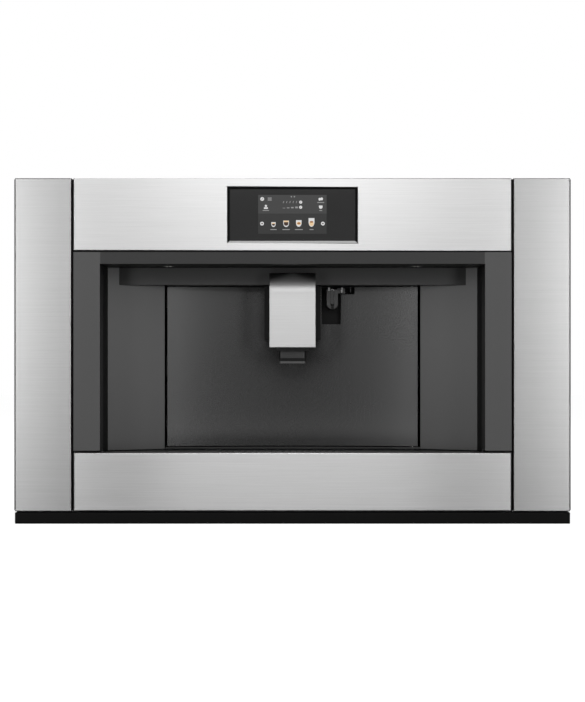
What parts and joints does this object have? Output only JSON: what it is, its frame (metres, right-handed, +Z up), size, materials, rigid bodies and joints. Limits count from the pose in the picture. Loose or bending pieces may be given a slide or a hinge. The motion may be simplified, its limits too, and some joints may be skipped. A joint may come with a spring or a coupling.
{
  "type": "built-in coffee machine",
  "caption": "Built-in bean-to-cup coffee machine with steel front, dark alcove, height-adjustable spout, service door and drip drawer, on slide-out rails in a mounting cradle.",
  "frame": {"origin": "centre of the underside, on the niche floor", "axes": "+X to the right of a person facing the front, -Y out of the front, +Z up"},
  "size_m": [0.76, 0.475, 0.472],
  "materials": {
    "brushed_steel_front": "fine horizontal brushing",
    "zinc_sheet": "galvanised sheet",
    "rail_steel": "zinc plated, rolled",
    "black_strip": "black, satin",
    "black_plastic": "fine texture",
    "grey_frame": "dark grey, satin",
    "grey_panel": "dark grey, soft sheen",
    "black_glass": "hard coated, glossy",
    "clear_plastic": "clear moulding",
    "lamp_lens": "frosted lens",
    "pin_steel": "turned steel",
    "burr_steel": "hardened, ground",
    "cast_alloy": "die cast",
    "circuit_board": "green board with parts",
    "hose_silicone": "milky hose",
    "float_red": "red",
    "grey_moulding": "grey moulding"
  },
  "bodies": {
    "surround": {"mounting_cradle": "zinc_sheet", "outer_rails": "rail_steel", "base_strip": "black_strip", "side_trims": "brushed_steel_front", "trim_carriers": "black_plastic"},
    "middle_rails": {"middle_rails": "rail_steel"},
    "service_door": {"door_panel": "grey_panel", "door_frame": "black_plastic", "hinge_pins": "pin_steel", "catch_plate": "rail_steel", "spout_guide": "black_plastic"},
    "spout": {"spout_cover": "brushed_steel_front", "spout_body": "black_plastic"},
    "drip_drawer": {"drawer_fascia": "brushed_steel_front", "drip_tray": "black_plastic", "grounds_container": "black_plastic"},
    "cup_grille": {"cup_grille": "rail_steel"},
    "tray_float": {"tray_float": "float_red"},
    "water_tank": {"water_tank": "clear_plastic"},
    "tank_lid": {"tank_lid": "black_plastic"},
    "bean_lid": {"bean_lid": "black_plastic"},
    "funnel_lid": {"funnel_lid": "black_plastic"},
    "grind_knob": {"grind_knob": "black_plastic"},
    "main_switch": {"main_switch": "black_plastic"},
    "brew_carriage": {"brew_carriage": "grey_moulding"},
    "brew_screw": {"brew_screw": "pin_steel"},
    "grinding_burr": {"grinding_burr": "burr_steel"},
    "machine": {"chassis_base": "zinc_sheet", "side_panel_left": "zinc_sheet", "side_panel_right": "zinc_sheet", "rear_panel": "zinc_sheet", "top_cover": "zinc_sheet", "bulkhead": "zinc_sheet", "front_frame": "grey_frame", "alcove_side_left": "grey_panel", "alcove_side_right": "grey_panel", "alcove_ceiling": "black_plastic", "header_band": "grey_panel", "door_sill": "black_plastic", "hinge_plates": "black_strip", "catch_magnet": "black_plastic", "cup_lights": "lamp_lens", "upper_fascia": "brushed_steel_front", "control_bezel": "black_plastic", "control_glass": "black_glass", "display_module": "black_plastic", "nozzle_housing": "black_plastic", "connection_nozzle": "grey_moulding", "inner_rails": "rail_steel", "brew_bay": "black_plastic", "burr_housing": "cast_alloy", "grinder_motor": "black_strip", "bean_hopper": "clear_plastic", "coffee_funnel": "black_plastic", "tank_seat": "black_plastic", "pump": "cast_alloy", "boiler": "cast_alloy", "water_hoses": "hose_silicone", "main_board": "circuit_board", "power_inlet": "black_plastic"}
  },
  "joints": [
    {"name": "machine_slide", "type": "slide", "parent": "surround", "child": "machine", "axis": [0, -1, 0], "range_m": [0, 0.32]},
    {"name": "middle_rail_slide", "type": "slide", "parent": "surround", "child": "middle_rails", "axis": [0, -1, 0], "range_m": [0, 0.16]},
    {"name": "door_hinge", "type": "hinge", "parent": "machine", "child": "service_door", "pos_m": [0.1735, -0.0839, 0.2136], "axis": [0, 0, 1], "range_deg": [0, 85]},
    {"name": "spout_slide", "type": "slide", "parent": "service_door", "child": "spout", "axis": [0, 0, -1], "range_m": [0, 0.055]},
    {"name": "drawer_slide", "type": "slide", "parent": "machine", "child": "drip_drawer", "axis": [0, -1, 0], "range_m": [0, 0.2]},
    {"name": "grille_lift", "type": "slide", "parent": "drip_drawer", "child": "cup_grille", "axis": [0, 0, 1], "range_m": [0, 0.03]},
    {"name": "float_rise", "type": "slide", "parent": "drip_drawer", "child": "tray_float", "axis": [0, 0, 1], "range_m": [0, 0.005]},
    {"name": "tank_lift", "type": "slide", "parent": "machine", "child": "water_tank", "axis": [0, 0, 1], "range_m": [0, 0.2]},
    {"name": "tank_lid_hinge", "type": "hinge", "parent": "water_tank", "child": "tank_lid", "pos_m": [0.185, 0.1825, 0.4499], "axis": [-1, 0, 0], "range_deg": [0, 80]},
    {"name": "bean_lid_hinge", "type": "hinge", "parent": "machine", "child": "bean_lid", "pos_m": [-0.19, 0.0957, 0.4541], "axis": [-1, 0, 0], "range_deg": [0, 80]},
    {"name": "funnel_lid_hinge", "type": "hinge", "parent": "machine", "child": "funnel_lid", "pos_m": [-0.05, 0.0197, 0.4541], "axis": [-1, 0, 0], "range_deg": [0, 80]},
    {"name": "grind_knob_turn", "type": "hinge", "parent": "machine", "child": "grind_knob", "pos_m": [-0.085, 0.0625, 0.457], "axis": [0, 0, 1], "range_deg": [-60, 60]},
    {"name": "main_switch_rock", "type": "hinge", "parent": "machine", "child": "main_switch", "pos_m": [0.15, 0.2275, 0.06], "axis": [1, 0, 0], "range_deg": [0, 8]},
    {"name": "brew_screw_turn", "type": "hinge", "parent": "machine", "child": "brew_screw", "pos_m": [-0.05, 0.0625, 0.2], "axis": [0, 0, 1], "range_deg": [0, 1800]},
    {"name": "brew_carriage_rise", "type": "slide", "parent": "machine", "child": "brew_carriage", "axis": [0, 0, 1], "range_m": [0, 0.04]},
    {"name": "grinding_burr_spin", "type": "hinge", "parent": "machine", "child": "grinding_burr", "pos_m": [-0.19, 0.0185, 0.31], "axis": [0, 0, 1], "continuous": true}
  ],
  "couplings": [
    {"joint": "middle_rail_slide", "follows": "machine_slide", "ratio": 0.5},
    {"joint": "brew_screw_turn", "follows": "brew_carriage_rise", "rad_per_m": 785}
  ]
}
